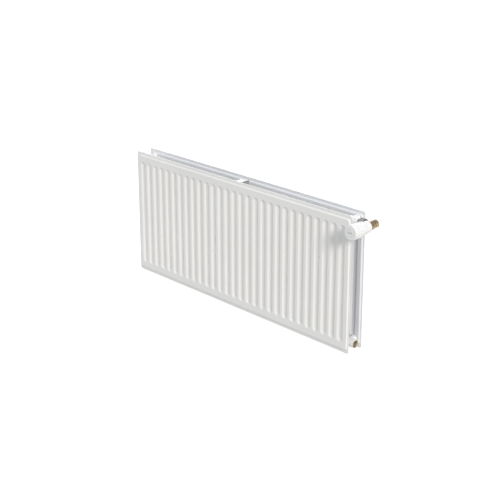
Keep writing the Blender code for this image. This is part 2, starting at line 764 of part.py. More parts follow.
def add_head_base(axis, surfaces):
    """The fixed part of the head: ring nut, base with the sensor's guide tube, and snap ring."""
    ring_nut = [
        (HEAD_THREAD_START + FIT_GAP, HEAD_THREAD_RADIUS + FIT_GAP),
        (HEAD_THREAD_START + FIT_GAP, RING_NUT_RADIUS - 0.0010),
        (HEAD_THREAD_START + 0.0013, RING_NUT_RADIUS),
        (0.0265, RING_NUT_RADIUS),
        (0.0275, RING_NUT_RADIUS - 0.0010),
        (0.0275, 0.0122),
        (0.0248, 0.0122),
        (0.0248, HEAD_THREAD_RADIUS + FIT_GAP),
    ]
    turned("head_ring_nut", ring_nut, surfaces["plastic"], segments=28, parent=axis)

    base = [
        (0.0228, 0.0110),
        (0.0228, 0.0148),
        (0.0245, 0.0148),
        (0.0245, 0.0119),
        (BASE_START, 0.0119),
        (BASE_START, BASE_RADIUS - 0.0015),
        (BASE_START + 0.0010, BASE_RADIUS - 0.0003),
        (BASE_START + 0.0025, BASE_RADIUS),
        (BASE_END, BASE_RADIUS),
        (BASE_END, BASE_RADIUS - 0.0016),
        (0.0305, BASE_RADIUS - 0.0016),
        (0.0305, GUIDE_RADIUS),
        (GUIDE_END, GUIDE_RADIUS),
        (GUIDE_END, GUIDE_BORE),
        (0.0330, GUIDE_BORE),
        (0.0330, 0.0060),
        (0.0265, 0.0060),
        (0.0265, 0.0110),
    ]
    turned("head_base", base, surfaces["plastic"], segments=28, parent=axis)

    snap_ring = [
        (0.0391, GUIDE_RADIUS + FIT_GAP),
        (0.0401, GUIDE_RADIUS + FIT_GAP),
        (0.0401, GUIDE_RADIUS + 0.0018),
        (0.0391, GUIDE_RADIUS + 0.0018),
    ]
    turned("grip_snap_ring", snap_ring[::-1], surfaces["steel"], segments=24, parent=axis)


def add_grip(axis, surfaces):
    """The turning grip, a thin shell with a web that runs on the guide tube, and its front cap."""
    wall = 0.0020
    grip = [
        (GRIP_START, 0.0190),
        (GRIP_START, 0.0206),
        (GRIP_START + 0.0008, 0.0212),
        (0.0480, 0.0224),
        (0.0620, 0.0232),
        (0.0780, 0.0241),
        (0.0870, 0.0246),
        (0.0900, 0.0240),
        (GRIP_END, 0.0222),
        (GRIP_END, CAP_RADIUS + FIT_GAP),
        (GRIP_END - wall, CAP_RADIUS + FIT_GAP),
        (GRIP_END - wall, 0.0208),
        (0.0870, 0.0224),
        (0.0780, 0.0221),
        (0.0620, 0.0212),
        (0.0480, 0.0204),
        (0.0388, 0.0197),
        (0.0388, GUIDE_RADIUS + FIT_GAP),
        (0.0366, GUIDE_RADIUS + FIT_GAP),
        (0.0366, 0.0190),
    ]
    turned("head_grip", grip[::-1], surfaces["plastic"], segments=32, parent=axis)

    cap = [
        (GRIP_END + 0.0004, 0),
        (GRIP_END + 0.0004, CAP_RADIUS - 0.0008),
        (GRIP_END, CAP_RADIUS),
        (GRIP_END - wall - FIT_GAP, CAP_RADIUS),
        (GRIP_END - wall - FIT_GAP, CAP_RADIUS + 0.0012),
        (GRIP_END - wall - 0.0014, CAP_RADIUS + 0.0012),
        (GRIP_END - wall - 0.0014, 0),
    ]
    turned("grip_front_cap", cap, surfaces["grey"], segments=24, ring=False, parent=axis)


def add_sensor(axis, surfaces):
    """The expanding sensor capsule, the overtravel spring and the push rod on the spindle."""
    low, high = CAPSULE
    radius = GUIDE_BORE - CAPSULE_CLEARANCE
    edge, inner_edge = 0.0030, 0.0025
    capsule = [
        (high, CAPSULE_FILL_HOLE),
        (high, radius - edge),
        (high - edge, radius),
        (low + edge, radius),
        (low, radius - edge),
        (low, CAPSULE_FILL_HOLE),
        (low + CAPSULE_WALL, CAPSULE_FILL_HOLE),
        (low + CAPSULE_WALL, radius - CAPSULE_WALL - inner_edge),
        (low + CAPSULE_WALL + inner_edge, radius - CAPSULE_WALL),
        (high - CAPSULE_WALL - inner_edge, radius - CAPSULE_WALL),
        (high - CAPSULE_WALL, radius - CAPSULE_WALL - inner_edge),
        (high - CAPSULE_WALL, CAPSULE_FILL_HOLE),
    ]
    turned("sensor_capsule", capsule, surfaces["steel"], parent=axis)

    flange = (0.0380, 0.0395)
    rod = [
        (flange[1], 0),
        (flange[1], 0.0110),
        (flange[0], 0.0110),
        (flange[0], 0.0030),
        (SPINDLE_TIP + FIT_GAP, 0.0030),
        (SPINDLE_TIP + FIT_GAP, 0),
    ]
    turned("push_rod", rod, surfaces["grey"], segments=20, ring=False, parent=axis)
    radius, wire, turns = OVERTRAVEL_SPRING
    spring_low, spring_high = flange[1] + 1.5 * wire, low - 1.5 * wire
    coil("overtravel_spring", radius, wire, spring_low, spring_high, turns, surfaces["steel"], parent=axis)


def add_valve(surfaces):
    add_tailpiece(surfaces)
    axis = add_empty("valve_axis", (VALVE_X, MIDDLE_Y, VALVE_Z), FORWARD)
    add_body(axis, surfaces)
    add_inlet(axis, surfaces)
    add_insert(axis, surfaces)
    add_head_base(axis, surfaces)
    add_grip(axis, surfaces)
    add_sensor(axis, surfaces)


def main():
    clear_scene()
    surfaces = material_set()
    add_panels(surfaces["panel"])
    add_frame(surfaces)
    add_left_fittings(surfaces)
    add_valve(surfaces)


main()
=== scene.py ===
from math import asin, atan2, ceil, cos, pi, radians, sin, sqrt, tan, tau

import bmesh
import bpy
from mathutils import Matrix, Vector, geometry, noise


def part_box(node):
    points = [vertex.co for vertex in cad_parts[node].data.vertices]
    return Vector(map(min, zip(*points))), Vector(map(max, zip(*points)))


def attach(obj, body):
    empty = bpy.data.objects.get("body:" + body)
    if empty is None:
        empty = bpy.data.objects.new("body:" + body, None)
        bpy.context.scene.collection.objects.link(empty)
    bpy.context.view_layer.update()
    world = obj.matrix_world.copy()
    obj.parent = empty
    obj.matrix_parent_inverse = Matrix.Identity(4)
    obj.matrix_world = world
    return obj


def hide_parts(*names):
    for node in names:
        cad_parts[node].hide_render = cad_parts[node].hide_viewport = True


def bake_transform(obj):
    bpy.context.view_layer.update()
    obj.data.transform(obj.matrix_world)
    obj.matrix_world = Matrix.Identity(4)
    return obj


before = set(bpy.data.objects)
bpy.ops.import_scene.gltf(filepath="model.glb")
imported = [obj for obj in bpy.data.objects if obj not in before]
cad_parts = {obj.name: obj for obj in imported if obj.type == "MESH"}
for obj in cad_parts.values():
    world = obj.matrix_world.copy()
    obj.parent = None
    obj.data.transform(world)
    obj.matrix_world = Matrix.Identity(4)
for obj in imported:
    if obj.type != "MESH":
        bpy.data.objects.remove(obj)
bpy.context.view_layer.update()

# The looks of a wall-hung double panel radiator with a thermostatic valve.
# Metres, +Z up, front towards -Y; every place comes from the CAD nodes' boxes.

# ---- sizes of the pressed sheets
CHANNELS = 30
SHEET = 0.0012
EDGE_FLANGE = 0.009
END_FLANGE = 0.003
SHOULDER = 0.0045
GROOVE_MARGIN = 0.0325
GROOVE_WIDTH = 0.026
GROOVE_FLANK = 0.0095
HEADER_CORNER = 0.0075
SHEET_CORNER = 0.0065
SEAM_TRACK_DEPTH = 0.00012
SPOT_RADIUS = 0.0026
SPOT_DEPTH = 0.00012
SPOTS_A_GROOVE = 3
WATERWAY_RADIUS = 0.007
WATERWAY_INSET = 0.026
FIT_GAP = 0.0003

SHARP = radians(38)
MERGE = 1e-6


# ---- places from the CAD nodes
def centre_of(node):
    low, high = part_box(node)
    return (low + high) / 2


FRONT_LOW, FRONT_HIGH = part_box("front_panel_front_sheet")
FRONT_BACK_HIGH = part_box("front_panel_back_sheet")[1]
REAR_FRONT_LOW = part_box("rear_panel_front_sheet")[0]
REAR_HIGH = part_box("rear_panel_back_sheet")[1]
HALF_LENGTH = (FRONT_HIGH.x - FRONT_LOW.x) / 2
PANEL_HEIGHT = FRONT_HIGH.z - FRONT_LOW.z
MIDDLE_Z = (FRONT_HIGH.z + FRONT_LOW.z) / 2
PITCH = 2 * HALF_LENGTH / CHANNELS
FRONT_PLANE = (FRONT_LOW.y + FRONT_BACK_HIGH.y) / 2
REAR_PLANE = (REAR_FRONT_LOW.y + REAR_HIGH.y) / 2
MIDDLE_Y = (FRONT_PLANE + REAR_PLANE) / 2
CREST = (FRONT_BACK_HIGH.y - FRONT_LOW.y) / 2
SEAM = FIT_GAP / 2 + SHEET
PORT_TOP = centre_of("top_right_tee").z
PORT_BOTTOM = centre_of("bottom_right_tee").z
TEE_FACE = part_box("top_right_tee")[1].x
VALVE = Vector((centre_of("head_grip").x, MIDDLE_Y, PORT_TOP))


# ---- materials
def feed(tree, target, value):
    """Links a socket into an input, or sets the input to a value."""
    if isinstance(value, bpy.types.NodeSocket):
        tree.links.new(value, target)
    else:
        target.default_value = value


def shader_node(tree, kind, **inputs):
    made = tree.nodes.new("ShaderNode" + kind)
    for name, value in inputs.items():
        feed(tree, made.inputs[name.replace("_", " ")], value)
    return made


def colour_mix(tree, share, first, second):
    """Two colours mixed by a share; each is a colour or another mix."""
    made = shader_node(tree, "Mix")
    made.data_type = "RGBA"
    feed(tree, made.inputs["Factor"], share)
    for socket, value in ((made.inputs[6], first), (made.inputs[7], second)):
        feed(tree, socket, value if isinstance(value, bpy.types.NodeSocket) else (*value, 1))
    return made.outputs[2]


class Surface:
    """A Principled material with noise, ramps and bumps laid in the object's own space."""

    def __init__(self, name, colour, roughness, metallic=0.0, **constants):
        self.made = bpy.data.materials.new(name)
        self.made.use_nodes = True
        self.tree = self.made.node_tree
        self.shader = self.tree.nodes["Principled BSDF"]
        self.roughness = roughness
        constants |= {"Base_Color": (*colour, 1), "Roughness": roughness, "Metallic": metallic}
        for socket, value in constants.items():
            self.shader.inputs[socket.replace("_", " ")].default_value = value
        self.place = self.node("TexCoord").outputs["Object"]
        self.normal = None

    def node(self, kind, **inputs):
        return shader_node(self.tree, kind, **inputs)

    def link(self, source, target):
        self.tree.links.new(source, target)

    def noise(self, scale, detail=2.0, stretch=(1, 1, 1)):
        """Noise with `scale` cells a metre, squeezed or drawn out along each axis."""
        mapping = self.node("Mapping", Vector=self.place, Scale=[scale * share for share in stretch])
        made = self.node("TexNoise", Vector=mapping.outputs["Vector"], Scale=1.0, Detail=detail)
        return made.outputs["Fac"]

    def edges(self, low=0.5, high=0.62):
        """1 along convex edges, 0 on flats."""
        return self.ranged(self.node("NewGeometry").outputs["Pointiness"], low, high)

    def ranged(self, source, low, high, to_low=0, to_high=1):
        """A value's range from low to high moved to another range."""
        made = self.node("MapRange", Value=source, From_Min=low, From_Max=high, To_Min=to_low, To_Max=to_high)
        return made.outputs["Result"]

    def times(self, first, second):
        made = self.node("Math")
        made.operation = "MULTIPLY"
        self.link(first, made.inputs[0])
        self.link(second, made.inputs[1])
        return made.outputs["Value"]

    def mixed(self, share, first, second):
        return colour_mix(self.tree, share, first, second)

    def paint(self, colour):
        self.link(colour, self.shader.inputs["Base Color"])

    def gloss(self, source, spread, low=0.3, high=0.7):
        """Roughness that wanders by `spread` to each side of the material's own."""
        value = self.ranged(source, low, high, self.roughness - spread, self.roughness + spread)
        self.link(value, self.shader.inputs["Roughness"])

    def bump(self, height, distance):
        """One more layer of relief, over the layers before it."""
        made = self.node("Bump", Height=height, Distance=distance)
        if self.normal is not None:
            self.link(self.normal, made.inputs["Normal"])
        self.normal = made.outputs["Normal"]
        self.link(self.normal, self.shader.inputs["Normal"])


def tinted(colour, *shares):
    """A colour with each channel scaled by its own share, or all by one."""
    return tuple(channel * share for channel, share in zip(colour, shares * (3 // len(shares))))


def enamel(name, colour, roughness):
    """Baked white enamel: orange peel, a slow wander of tone, thinner and duller on edges."""
    made = Surface(name, colour, roughness, Coat_Weight=0.25, Coat_Roughness=0.12)
    broad = made.noise(6, 3)
    cloud = made.noise(45, 4)
    tone = made.mixed(made.ranged(broad, 0.35, 0.65), tinted(colour, 0.975), colour)
    specks = made.ranged(made.noise(420, 2), 0.70, 0.80, 0, 0.12)
    tone = made.mixed(specks, tone, tinted(colour, 0.97))
    worn = made.times(made.edges(0.53, 0.62), made.ranged(cloud, 0.45, 0.75, 0, 0.5))
    made.paint(made.mixed(worn, tone, tinted(colour, 0.86, 0.85, 0.82)))
    made.gloss(cloud, 0.07)
    made.bump(broad, 0.0004)
    made.bump(made.noise(420, 1), 0.000025)
    made.bump(made.noise(1300, 1), 0.000008)
    return made.made


def plated(name, colour, roughness, stretch):
    """Plated metal: fine lines across the stretch, stains in patches, brighter worn edges."""
    made = Surface(name, colour, roughness, metallic=1.0)
    lines = made.noise(220, 3, stretch)
    cloud = made.noise(90, 4)
    stain = made.ranged(cloud, 0.4, 0.75, 0, 0.55)
    tone = made.mixed(stain, colour, tinted(colour, 0.72))
    made.paint(made.mixed(made.times(made.edges(), made.noise(300, 2)), tone, tinted(colour, 1.25)))
    made.gloss(made.times(lines, cloud), 0.09, 0.1, 0.45)
    made.bump(lines, 0.00004)
    made.bump(cloud, 0.00006)
    return made.made


def raw_brass(name, colour, roughness, stretch):
    """Turned brass with tool lines and brown tarnish in patches."""
    made = Surface(name, colour, roughness, metallic=1.0)
    lines = made.noise(260, 3, stretch)
    cloud = made.noise(120, 5)
    tarnish = made.ranged(cloud, 0.45, 0.70, 0, 0.8)
    tone = made.mixed(tarnish, colour, tinted(colour, 0.62, 0.50, 0.40))
    made.paint(made.mixed(made.times(made.edges(), lines), tone, tinted(colour, 1.3)))
    made.gloss(cloud, 0.12)
    made.bump(lines, 0.00005)
    made.bump(cloud, 0.00008)
    return made.made


def thread_coating():
    """The bare, yellow-brown coated steel of an open threaded port."""
    colour = (0.42, 0.33, 0.20)
    made = Surface("thread_coating", colour, 0.5, metallic=0.35)
    cloud = made.noise(260, 5)
    rust = made.ranged(made.noise(700, 3), 0.55, 0.72, 0, 0.7)
    tone = made.mixed(made.ranged(cloud, 0.35, 0.65), tinted(colour, 0.78), tinted(colour, 1.18))
    made.paint(made.mixed(rust, tone, (0.20, 0.10, 0.05)))
    made.gloss(cloud, 0.15)
    made.bump(made.noise(900, 3), 0.00005)
    return made.made


def moulded(name, colour, roughness):
    """Moulded plastic: spark-eroded grain, faint flow marks and patches of soil."""
    made = Surface(name, colour, roughness, Subsurface_Weight=0.06, Subsurface_Radius=(0.004, 0.003, 0.002))
    grain = made.noise(1500, 2)
    flow = made.noise(60, 3, (1, 0.3, 1))
    tone = made.mixed(made.ranged(flow, 0.35, 0.65), tinted(colour, 0.97), colour)
    soil = made.times(made.ranged(made.noise(180, 5), 0.55, 0.8, 0, 0.5), made.ranged(flow, 0.4, 0.6))
    made.paint(made.mixed(soil, tone, tinted(colour, 0.90, 0.88, 0.84)))
    made.gloss(flow, 0.08)
    made.bump(flow, 0.00008)
    made.bump(grain, 0.000012)
    return made.made


def sealing_rubber():
    made = Surface("sealing_rubber", (0.028, 0.028, 0.030), 0.72)
    grain = made.noise(900, 4)
    bloom = made.ranged(made.noise(140, 4), 0.45, 0.7, 0, 0.6)
    made.paint(made.mixed(bloom, (0.025, 0.025, 0.027), (0.075, 0.074, 0.072)))
    made.gloss(grain, 0.12)
    made.bump(grain, 0.00004)
    return made.made


def printed_ink():
    made = Surface("printed_ink", (0.16, 0.18, 0.22), 0.55)
    grain = made.noise(1100, 3)
    made.paint(made.mixed(grain, (0.13, 0.15, 0.19), (0.22, 0.24, 0.28)))
    made.gloss(grain, 0.08)
    made.bump(grain, 0.00001)
    return made.made


# Noise squeezed along an axis makes lines round it, as turning does.
ALONG_X = (6, 0.5, 0.5)
ALONG_Y = (0.5, 6, 0.5)
WHITE = (0.80, 0.791, 0.768)
NICKEL = (0.50, 0.48, 0.47)
BRASS = (0.42, 0.325, 0.20)

LOOKS = {
    "panel": enamel("panel_enamel", WHITE, 0.34),
    # Painted shade: the sheets that face the gap get the panels' white enamel made darker and cooler, for the
    # bluish shade between the panels.
    "panel_inner_shaded": enamel("inner_enamel_painted_shade", (0.772, 0.780, 0.795), 0.37),
    "frame": enamel("frame_enamel", (0.79, 0.79, 0.785), 0.38),
    # Painted shade: the strap's enamel is the panels' white made darker, standing in for the shade it sits in
    # between the panels.
    "strap": enamel("strap_enamel_painted_shade", (0.66, 0.66, 0.665), 0.42),
    "lug": enamel("lug_enamel", (0.76, 0.76, 0.755), 0.44),
    "nickel": plated("nickel_across", NICKEL, 0.24, ALONG_X),
    "brass_x": raw_brass("brass_across", BRASS, 0.34, ALONG_X),
    "brass_y": raw_brass("brass_forward", BRASS, 0.34, ALONG_Y),
    "steel": plated("bright_steel", (0.60, 0.60, 0.61), 0.28, ALONG_Y),
    "thread": thread_coating(),
    "rubber": sealing_rubber(),
    "head": moulded("head_plastic", (0.79, 0.79, 0.78), 0.36),
    "grip": moulded("grip_plastic", (0.80, 0.80, 0.79), 0.34),
    "cap": moulded("cap_plastic", (0.78, 0.78, 0.77), 0.42),
    "ink": printed_ink(),
}


# ---- mesh helpers
def linked(name, data):
    """A new object in the scene."""
    made = bpy.data.objects.new(name, data)
    bpy.context.scene.collection.objects.link(made)
    return made


def add_piece(name, mesh, looks, body="radiator", nodes=()):
    """Links a finished mesh as a piece of the object that rides on a body."""
    piece = linked(name, mesh)
    kinds = [face.material_index for face in mesh.polygons]
    mesh.materials.clear()
    for look in looks:
        mesh.materials.append(LOOKS[look])
    mesh.polygons.foreach_set("material_index", kinds)
    mesh.shade_smooth()
    mesh.set_sharp_from_angle(angle=SHARP)
    if body:
        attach(piece, body)
    if nodes:
        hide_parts(*nodes)
    return piece


def stand_in(node, mesh, looks, body="radiator"):
    """Links a finished mesh in the place of one CAD node."""
    return add_piece(node + "_fine", mesh, looks, body, [node])


def mesh_of(name, points, faces):
    """A mesh from points and faces, doubles merged and every face turned outwards."""
    mesh = bpy.data.meshes.new(name)
    mesh.from_pydata(points, [], faces)
    bm = bmesh.new()
    bm.from_mesh(mesh)
    bmesh.ops.remove_doubles(bm, verts=bm.verts[:], dist=MERGE)
    bmesh.ops.dissolve_degenerate(bm, dist=MERGE, edges=bm.edges[:])
    bmesh.ops.recalc_face_normals(bm, faces=bm.faces[:])
    bm.to_mesh(mesh)
    bm.free()
    return mesh


def evaluated(piece):
    """A piece's mesh with its modifiers applied, or a text's outline as a mesh."""
    bpy.context.view_layer.update()
    graph = bpy.context.evaluated_depsgraph_get()
    return bpy.data.meshes.new_from_object(piece.evaluated_get(graph))


def combined(name, target, tools):
    """The target mesh with each (operation, mesh) tool applied; material indices are kept."""
    for _ in range(2):
        target.materials.append(None)
    piece = linked(name, target)
    helpers = []
    for operation, tool in tools:
        helpers.append(linked(name + "_tool", tool))
        step = piece.modifiers.new(operation, "BOOLEAN")
        step.operation = operation
        step.object = helpers[-1]
        step.solver = "EXACT"
    mesh = evaluated(piece)
    for old in [piece, *helpers]:
        bpy.data.objects.remove(old, do_unlink=True)
    mesh.name = name
    return mesh


class Line:
    """An axis: height runs along it, and angle 0 points along `across`, 90 degrees up."""

    def __init__(self, origin, direction, across):
        self.origin = Vector(origin)
        self.direction = Vector(direction)
        self.across = Vector(across)
        self.up = Vector((0, 0, 1))

    def at(self, height, radius, turn):
        side = self.across * (radius * cos(turn)) + self.up * (radius * sin(turn))
        return self.origin + self.direction * height + side


def to_front(origin):
    return Line(origin, (0, -1, 0), (1, 0, 0))


def to_right(origin):
    return Line(origin, (1, 0, 0), (0, 1, 0))


def to_left(origin):
    return Line(origin, (-1, 0, 0), (0, -1, 0))


def rounded(points, radius, closed, steps=4):
    """The outline with each corner turned into a short arc. A third value sets its own radius."""
    plain = [Vector(point[:2]) for point in points]
    made = []
    last = len(points) - 1
    for index, here in enumerate(plain):
        if not closed and index in (0, last):
            made.append(here)
            continue
        back, on = plain[index - 1] - here, plain[(index + 1) % len(plain)] - here
        wanted = points[index][2] if len(points[index]) > 2 else radius
        reach = min(wanted, 0.45 * back.length, 0.45 * on.length)
        start, end = here + back.normalized() * reach, here + on.normalized() * reach
        for t in spaced(0, 1, steps):
            made.append(start * (1 - t) ** 2 + here * (2 * t * (1 - t)) + end * t ** 2)
    return [(point.x, point.y) for point in made]


def belts(rows, count, closed=False):
    """The faces between rows of `count` points; closed also joins the last row to the first."""
    faces = []
    for row in range(rows if closed else rows - 1):
        low, high = row * count, (row + 1) % rows * count
        for index in range(count):
            beside = (index + 1) % count
            faces.append((low + index, low + beside, high + beside, high + index))
    return faces


def turned(line, profile, segments=72, ring=True, shape=None, name="tool"):
    """Turns (height, radius) points round a line; shape(height, turn, radius) may vary it."""
    points = []
    for height, radius in profile:
        for index in range(segments):
            turn = tau * index / segments
            wide = shape(height, turn, radius) if shape and radius > MERGE else radius
            points.append(line.at(height, wide, turn))
    return mesh_of(name, points, belts(len(profile), segments, ring))


def add_turned(node, line, profile, look, slot, body="radiator", **how):
    """Turns a profile and links it in the place of a CAD node."""
    return stand_in(node, turned(line, profile, name=node + "_fine", **how), [look], body)


def flatted(sides, half, corner):
    """Limits a turned radius to a polygon of that half width, with its corners slightly blunt."""
    step = pi / sides

    def shape(height, turn, radius):
        inside = (turn + step) % (2 * step) - step
        return min(radius, half / cos(inside), corner)

    return shape


def hexagonal(flats):
    return flatted(6, flats / 2, 0.985 * flats / sqrt(3))


def spaced(low, high, count):
    return [low + (high - low) * index / count for index in range(count + 1)]


def nut_profile(low, high, flats, inner):
    """A nut's outer side with chamfers at both ends, then its bore, as a closed ring."""
    corner = flats / sqrt(3)
    face = 0.94 * flats / 2
    rise = 0.62 * (corner - face)
    rows = 8
    outer = list(zip(spaced(low, low + rise, rows), spaced(face, corner, rows)))
    outer += [(height, corner) for height in spaced(low + rise, high - rise, 6)[1:-1]]
    outer += zip(spaced(high - rise, high, rows), spaced(corner, face, rows))
    return outer + inner


def smooth(t):
    """Rises from 0 to 1 with no corner at either end."""
    t = max(0.0, min(1.0, t))
    return t * t * (3 - 2 * t)


def ridge(height, turn, pitch):
    """How high a helical thread stands at a place, from 0 to 1."""
    phase = (height / pitch - turn / tau) % 1
    return smooth(1.6 - 3.2 * abs(phase - 0.5))


# ---- pressed sheets
ARC_STEPS = 12
FLANK_STEPS = 8
UNDER_FLANK_STEPS = 3
CORNER_STEPS = 6
SPOT_SPREAD = 0.95  # share of a groove's height that its spot welds are spread over
LAND = 0.0004  # narrow flat strip at the top of a flank
FLOOR_LAND = 0.0003  # the same at its foot, in a groove
EDGE_EASE = 0.00025  # how far a sheet's outer edge is eased back
# The edge seam's rows: share of the flange's width, and whether the weld track dips there.
SEAM_ROWS = ((0.04, 0), (0.34, 0), (0.40, 1), (0.66, 1), (0.72, 0), (0.97, 0))


def capsule_outline(x, reach, radius):
    """Points round an upright slot with round ends, anticlockwise, in (x, z)."""
    straight = reach - radius
    turns = spaced(0, pi, ARC_STEPS)
    top = [(x + radius * cos(turn), straight + radius * sin(turn)) for turn in turns]
    return top + [(2 * x - px, -pz) for px, pz in top]


def frame_outline(x_margin, z_margin, corner):
    """Points round a rectangle with round corners, anticlockwise, in (x, z)."""
    made = []
    for quarter in range(4):
        across = -1 if quarter in (1, 2) else 1
        up = -1 if quarter in (2, 3) else 1
        middle_x = across * (HALF_LENGTH - x_margin - corner)
        middle_z = up * (PANEL_HEIGHT / 2 - z_margin - corner)
        for turn in spaced(quarter * pi / 2, (quarter + 1) * pi / 2, CORNER_STEPS):
            made.append((middle_x + corner * cos(turn), middle_z + corner * sin(turn)))
    return made


def disc_outline(x, z, radius, count=16):
    turns = [tau * index / count for index in range(count)]
    return [(x + radius * cos(turn), z + radius * sin(turn)) for turn in turns]


class Relief:
    """Points at a height over a sheet's plane, joined in rings and filled flats."""

    def __init__(self):
        self.points = []
        self.faces = []

    def outline(self, flat, height):
        start = len(self.points)
        self.points += [(x, z, height) for x, z in flat]
        return list(range(start, start + len(flat)))

    def join(self, first, second):
        count = len(first)
        for index in range(count):
            beside = (index + 1) % count
            self.faces.append((first[index], first[beside], second[beside], second[index]))

    def step(self, last, flat, height):
        """One more ring, joined to the last one if there is one."""
        row = self.outline(flat, height)
        if last is not None:
            self.join(last, row)
        return row

    def fill(self, outlines):
        """Fills the flat inside the first outline and outside the others."""
        loops = [[Vector((*self.points[index][:2], 0)) for index in loop] for loop in outlines]
        flat = [index for loop in outlines for index in loop]
        for corners in geometry.tessellate_polygon(loops):
            self.faces.append(tuple(flat[corner] for corner in corners))


def press_side(relief, depth, waterways, finish):
    """One side of a sheet: depth is 0 on the outside and the sheet's own underneath."""
    seam, crest = SEAM - depth, CREST - depth
    rise = crest - seam
    late = depth * tan(atan2(rise, GROOVE_FLANK) / 2)  # shifts the underside's flanks to keep the thickness
    flank = spaced(0, 1, FLANK_STEPS if finish else UNDER_FLANK_STEPS)

    edge = relief.outline(frame_outline(0, 0, SHEET_CORNER), seam - (EDGE_EASE if finish else 0))
    last = edge
    foot_corner = HEADER_CORNER + SHOULDER
    for share, dip in SEAM_ROWS if finish else ():
        corner = SHEET_CORNER + (foot_corner - SHEET_CORNER) * share
        flat = frame_outline(share * END_FLANGE, share * EDGE_FLANGE, corner)
        last = relief.step(last, flat, seam - dip * SEAM_TRACK_DEPTH)
    for share in flank:
        grown = share * SHOULDER + late
        flat = frame_outline(END_FLANGE + grown, EDGE_FLANGE + grown, foot_corner - share * SHOULDER)
        last = relief.step(last, flat, seam + rise * smooth(share))
    grown = SHOULDER + late + LAND
    flat = frame_outline(END_FLANGE + grown, EDGE_FLANGE + grown, HEADER_CORNER - LAND)
    openings = [relief.step(last, flat, crest)]

    reach, half_width = PANEL_HEIGHT / 2 - GROOVE_MARGIN, GROOVE_WIDTH / 2
    for groove in range(1, CHANNELS):
        x = groove * PITCH - HALF_LENGTH
        last = relief.outline(capsule_outline(x, reach + LAND + late, half_width + LAND + late), crest)
        openings.append(last)
        for share in flank:
            shift = late - share * GROOVE_FLANK
            last = relief.step(last, capsule_outline(x, reach + shift, half_width + shift),
                               crest - rise * smooth(share))
        shift = late - GROOVE_FLANK - FLOOR_LAND
        floor = relief.step(last, capsule_outline(x, reach + shift, half_width + shift), seam)
        spots = []
        for spot in range(SPOTS_A_GROOVE if finish else 0):
            z = (spot + 0.5 - SPOTS_A_GROOVE / 2) * 2 * SPOT_SPREAD * reach / SPOTS_A_GROOVE
            last = None
            for share in spaced(0, 1, 4):
                flat = disc_outline(x, z, SPOT_RADIUS * (1.15 - 0.65 * share))
                last = relief.step(last, flat, seam - SPOT_DEPTH * smooth(share))
                if share == 0:
                    spots.append(last)
            relief.fill([last])
        relief.fill([floor] + spots)

    holes = [relief.outline(disc_outline(x, z, WATERWAY_RADIUS, 32), crest) for x, z in waterways]
    relief.fill(openings + holes)
    return edge, holes


def add_sheet(node, plane, outward):
    """A pressed sheet; outward is -1 where its outer face turns to the front."""
    inner = node in ("front_panel_back_sheet", "rear_panel_front_sheet")
    port_z = (PORT_TOP - MIDDLE_Z, PORT_BOTTOM - MIDDLE_Z)
    x = HALF_LENGTH - WATERWAY_INSET
    waterways = [(side * x, z) for side in (-1, 1) for z in port_z] if inner else []
    relief = Relief()
    outer_edge, outer_holes = press_side(relief, 0, waterways, True)
    under_edge, under_holes = press_side(relief, SHEET, waterways, False)
    relief.join(outer_edge, under_edge)
    for outer, under in zip(outer_holes, under_holes):
        relief.join(outer, under)
    points = [(x, plane + outward * height, z + MIDDLE_Z) for x, z, height in relief.points]
    mesh = mesh_of(node + "_fine", points, relief.faces)
    # Sheets facing the gap take the darker, cooler enamel: the gap's shade painted into the colour.
    stand_in(node, mesh, ["panel_inner_shaded" if inner else "panel"])


# ---- welded frame
THREAD_PITCH = 0.00181
THREAD_DEPTH = 0.00095
PORT_RADIUS = 0.0105
TEE_RADIUS = 0.014
CROSS_RADIUS = 0.012
PORT_DEPTH = 0.0165
RING_SEGMENTS = 72
SINK = 0.0001  # depth to which a weld or fillet starts inside the tube that it joins


def weld_ring(line, height, radius, size, seed):
    """A weld bead round a tube's end, where it meets a sheet: a lumpy concave fillet."""
    arc = spaced(0, 1, 5)
    points = []
    for index in range(RING_SEGMENTS):
        turn = tau * index / RING_SEGMENTS
        wander = noise.noise((seed, 3 * cos(turn), 3 * sin(turn)))
        lump = size * (1 + 0.16 * sin(22 * turn) + 0.25 * wander)
        section = [(height, radius - 0.0004)]
        for t in arc:
            bulge = lump * (0.25 * sin(pi * t)) * 0.4
            section.append((height - lump * (1 - t) * (1 - t) - bulge, radius - SINK + lump * t * t + bulge))
        points += [line.at(high, wide, turn) for high, wide in section]
    return mesh_of("tool", points, belts(RING_SEGMENTS, len(arc) + 1, True))


def saddle_ring(centre, run, branch, main_radius, branch_radius, size):
    """A fillet where a branch tube leaves a main tube: both are round, at a right angle."""
    side = branch.cross(run)
    arc = spaced(0, 1, 5)
    reach, low_radius = branch_radius - SINK, main_radius - SINK
    points = []
    for index in range(RING_SEGMENTS):
        turn = tau * index / RING_SEGMENTS
        around = reach * sin(turn)
        rise = sqrt(main_radius ** 2 - around ** 2)
        ripple = size * (1 + 0.05 * sin(17 * turn))
        swing = asin(around / main_radius) + ripple * sin(turn) / main_radius
        joint = centre + run * (reach * cos(turn)) + side * around + branch * (rise - SINK)
        above = joint + branch * ripple
        below = (centre + run * ((reach + ripple) * cos(turn)) + side * (low_radius * sin(swing))
                 + branch * (low_radius * cos(swing)))
        points += [above * (1 - t) ** 2 + joint * (2 * t * (1 - t)) + below * t ** 2 for t in arc]
        points.append(joint - (run * cos(turn) + side * sin(turn)) * 0.0008 - branch * 0.0008)
    return mesh_of("tool", points, belts(RING_SEGMENTS, len(arc) + 1, True))


